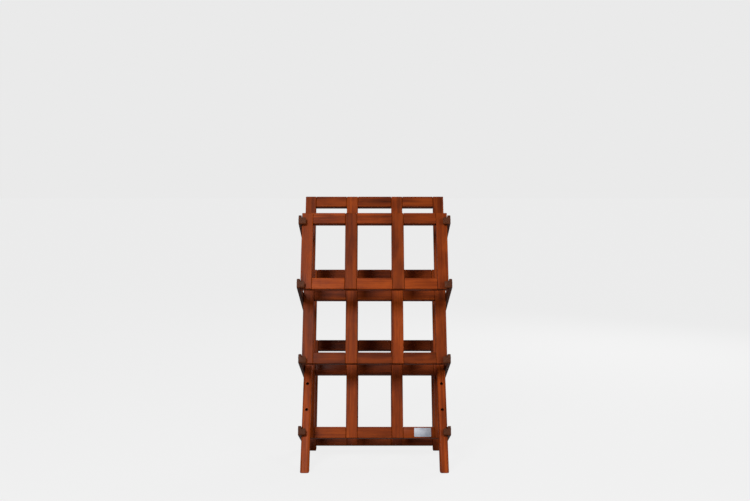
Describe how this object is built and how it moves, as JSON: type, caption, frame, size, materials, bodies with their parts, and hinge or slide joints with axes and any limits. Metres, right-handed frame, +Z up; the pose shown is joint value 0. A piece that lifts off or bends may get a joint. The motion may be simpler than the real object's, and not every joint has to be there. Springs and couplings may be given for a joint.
{
  "type": "folding slatted display rack",
  "caption": "Folding wooden rack of leaning slatted panels tied by pivoting side arms, with two propping front legs.",
  "frame": {"origin": "middle of the rack's box at floor level", "axes": "+X to the rack's right, +Y to its back, +Z up"},
  "size_m": [0.4744, 0.4045, 0.83],
  "materials": {
    "wood": "satin stained and lacquered",
    "wood_dark": "satin, darker stain on end grain",
    "brass": "aged",
    "label": "blank plate"
  },
  "bodies": {
    "rear_panel": {"rear_panel_top_rail": "wood", "rear_panel_bottom_rail": "wood", "rear_panel_stile_left": "wood", "rear_panel_stile_right": "wood", "rear_panel_slat_left": "wood", "rear_panel_slat_right": "wood", "pin_3_rear_left": "brass", "pin_3_rear_right": "brass", "pin_4_rear_left": "brass", "pin_4_rear_right": "brass"},
    "lower_panel": {"lower_panel_top_rail": "wood", "lower_panel_middle_rail": "wood", "lower_panel_bottom_rail": "wood", "lower_panel_stile_left": "wood", "lower_panel_stile_right": "wood", "lower_panel_slat_left": "wood", "lower_panel_slat_right": "wood", "pin_2_lower_left": "brass", "pin_2_lower_right": "brass", "pin_3_lower_left": "brass", "pin_3_lower_right": "brass", "pin_4_lower_left": "brass", "pin_4_lower_right": "brass", "label_plate": "label"},
    "upper_panel": {"upper_panel_top_rail": "wood", "upper_panel_middle_rail": "wood", "upper_panel_bottom_rail": "wood", "upper_panel_stile_left": "wood", "upper_panel_stile_right": "wood", "upper_panel_slat_left": "wood", "upper_panel_slat_right": "wood", "pin_1_upper_left": "brass", "pin_1_upper_right": "brass", "pin_2_upper_left": "brass", "pin_2_upper_right": "brass", "pin_3_upper_left": "brass", "pin_3_upper_right": "brass"},
    "front_panel": {"front_panel_top_rail": "wood", "front_panel_bottom_rail": "wood", "front_panel_stile_left": "wood", "front_panel_stile_right": "wood", "front_panel_slat_left": "wood", "front_panel_slat_right": "wood", "pin_1_front_left": "brass", "pin_1_front_right": "brass", "pin_2_front_left": "brass", "pin_2_front_right": "brass"},
    "arms_1": {"arm_1_left": "wood_dark", "arm_1_right": "wood_dark"},
    "arms_2": {"arm_2_left": "wood_dark", "arm_2_right": "wood_dark"},
    "arms_3": {"arm_3_left": "wood_dark", "arm_3_right": "wood_dark"},
    "arms_4": {"arm_4_left": "wood_dark", "arm_4_right": "wood_dark"},
    "legs": {"leg_left": "wood", "leg_right": "wood", "pin_4_leg_left": "brass", "pin_4_leg_right": "brass"}
  },
  "joints": [
    {"name": "fold", "type": "hinge", "parent": "rear_panel", "child": "arms_4", "pos_m": [0, 0.06679, 0.03613], "axis": [-1, 0, 0], "range_deg": [0, 65]},
    {"name": "arms_3_hinge", "type": "hinge", "parent": "rear_panel", "child": "arms_3", "pos_m": [0, 0.14735, 0.23061], "axis": [-1, 0, 0], "range_deg": [0, 65]},
    {"name": "lower_panel_hinge", "type": "hinge", "parent": "arms_4", "child": "lower_panel", "pos_m": [0, -0.05609, 0.08703], "axis": [-1, 0, 0], "range_deg": [-65, 0]},
    {"name": "upper_panel_hinge", "type": "hinge", "parent": "arms_3", "child": "upper_panel", "pos_m": [0, -0.09841, 0.33241], "axis": [-1, 0, 0], "range_deg": [-65, 0]},
    {"name": "arms_2_hinge", "type": "hinge", "parent": "lower_panel", "child": "arms_2", "pos_m": [0, 0.10177, 0.46813], "axis": [-1, 0, 0], "range_deg": [0, 65]},
    {"name": "front_panel_hinge", "type": "hinge", "parent": "arms_2", "child": "front_panel", "pos_m": [0, -0.14398, 0.56993], "axis": [-1, 0, 0], "range_deg": [-65, 0]},
    {"name": "arms_1_hinge", "type": "hinge", "parent": "upper_panel", "child": "arms_1", "pos_m": [0, 0.05735, 0.70842], "axis": [-1, 0, 0], "range_deg": [0, 65]},
    {"name": "legs_hinge", "type": "hinge", "parent": "arms_4", "child": "legs", "pos_m": [0, -0.11799, 0.11267], "axis": [-1, 0, 0], "range_deg": [-74.6, 0]}
  ],
  "couplings": [
    {"joint": "arms_3_hinge", "follows": "fold", "ratio": 1},
    {"joint": "lower_panel_hinge", "follows": "fold", "ratio": -1},
    {"joint": "upper_panel_hinge", "follows": "fold", "ratio": -1},
    {"joint": "arms_2_hinge", "follows": "fold", "ratio": 1},
    {"joint": "front_panel_hinge", "follows": "fold", "ratio": -1},
    {"joint": "arms_1_hinge", "follows": "fold", "ratio": 1},
    {"joint": "legs_hinge", "follows": "fold", "ratio": -1.146}
  ]
}
